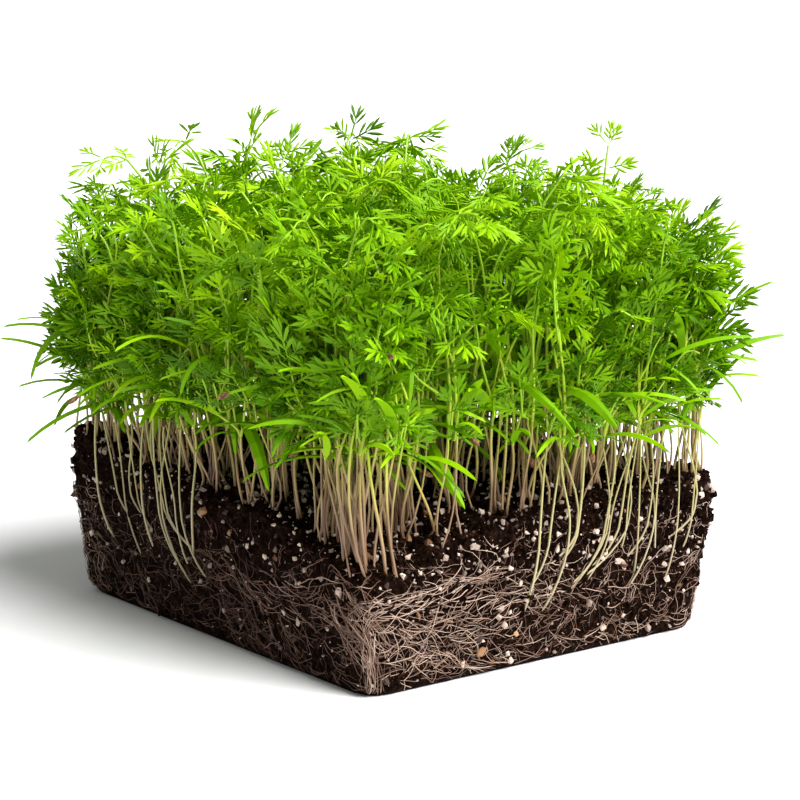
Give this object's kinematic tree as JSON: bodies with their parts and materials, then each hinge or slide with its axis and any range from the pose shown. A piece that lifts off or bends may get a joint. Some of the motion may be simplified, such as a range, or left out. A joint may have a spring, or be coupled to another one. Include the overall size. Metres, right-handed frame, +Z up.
{
  "type": "microgreens soil block",
  "caption": "Tapered block of dark potting soil bound by a mat of pale roots, densely sown with feathery dill-like seedlings on slender pale stems.",
  "frame": {"origin": "middle of the soil block's flat underside", "axes": "+Z up, X along the block's shorter side, Y along its longer side; the worn near corner of the picture is at -X -Y"},
  "size_m": [0.1771, 0.2, 0.1488],
  "materials": {
    "soil": "moist crumbly peat and bark, fully matt",
    "roots": "fine pale roots, matt",
    "seedlings": "fresh green leaf, slightly satin"
  },
  "bodies": {
    "root": {"soil_block": "soil", "root_net_left": "roots", "root_net_front": "roots", "root_net_right": "roots", "root_net_back": "roots", "seedlings_01": "seedlings", "seedlings_02": "seedlings", "seedlings_03": "seedlings", "seedlings_04": "seedlings", "seedlings_05": "seedlings", "seedlings_06": "seedlings", "seedlings_07": "seedlings", "seedlings_08": "seedlings", "seedlings_09": "seedlings", "seedlings_10": "seedlings", "seedlings_11": "seedlings", "seedlings_12": "seedlings", "seedlings_13": "seedlings", "seedlings_14": "seedlings", "seedlings_15": "seedlings", "seedlings_16": "seedlings", "seedlings_17": "seedlings", "seedlings_18": "seedlings", "seedlings_19": "seedlings", "seedlings_20": "seedlings", "seedlings_21": "seedlings", "seedlings_22": "seedlings", "seedlings_23": "seedlings", "seedlings_24": "seedlings", "seedlings_25": "seedlings", "seedlings_26": "seedlings", "seedlings_27": "seedlings", "seedlings_28": "seedlings", "seedlings_29": "seedlings", "seedlings_30": "seedlings", "seedlings_31": "seedlings", "seedlings_32": "seedlings", "seedlings_33": "seedlings", "seedlings_34": "seedlings", "seedlings_35": "seedlings", "seedlings_36": "seedlings", "seedlings_37": "seedlings", "seedlings_38": "seedlings", "seedlings_39": "seedlings", "seedlings_40": "seedlings", "seedlings_41": "seedlings", "seedlings_42": "seedlings"}
  },
  "joints": []
}
